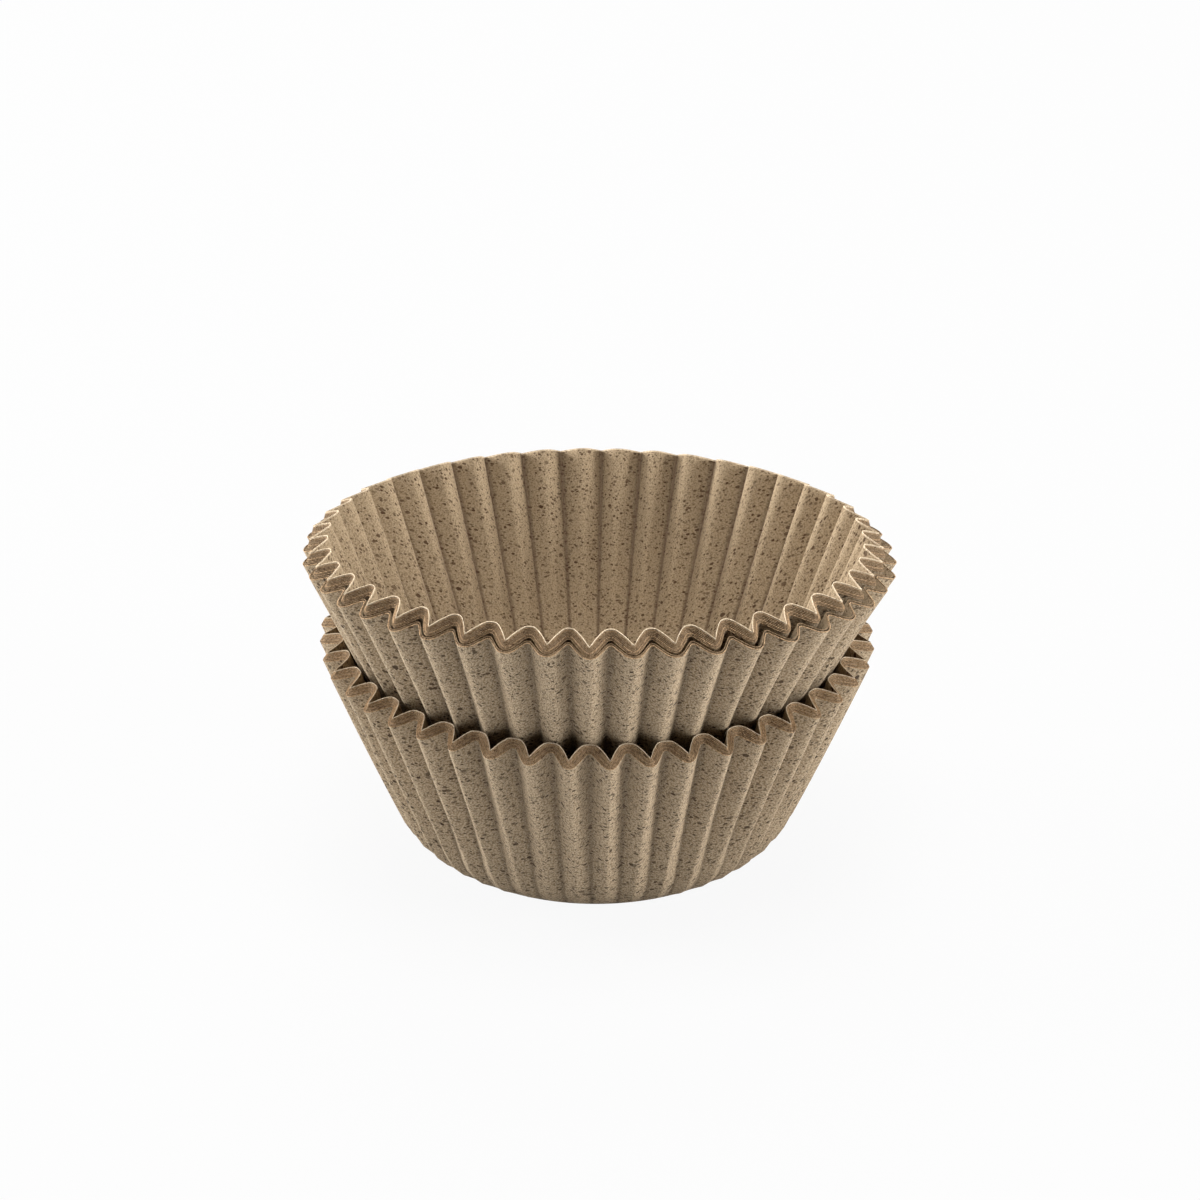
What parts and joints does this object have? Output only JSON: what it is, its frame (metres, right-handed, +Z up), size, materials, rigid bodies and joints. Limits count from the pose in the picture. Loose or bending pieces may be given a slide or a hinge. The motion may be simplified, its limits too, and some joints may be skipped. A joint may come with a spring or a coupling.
{
  "type": "stack of cupcake liners",
  "caption": "Two nested bundles of round pleated paper baking cups, the wider bundle resting askew in the mouth of the narrower one.",
  "frame": {"origin": "centre of the flat base that the stack stands on", "axes": "+Z up out of the cups' mouths, -Y towards the side where the upper bundle's rim rides up, +X to the right seen from there"},
  "size_m": [0.072, 0.0704, 0.0443],
  "materials": {
    "paper": "matt unbleached fibre paper with dark specks"
  },
  "bodies": {
    "root": {"lower_liner_01": "paper", "lower_liner_02": "paper", "lower_liner_03": "paper", "lower_liner_04": "paper", "lower_liner_05": "paper", "lower_liner_06": "paper", "lower_liner_07": "paper", "upper_liner_01": "paper", "upper_liner_02": "paper", "upper_liner_03": "paper", "upper_liner_04": "paper", "upper_liner_05": "paper", "upper_liner_06": "paper", "upper_liner_07": "paper", "upper_liner_08": "paper", "upper_liner_09": "paper", "upper_liner_10": "paper"}
  },
  "joints": []
}
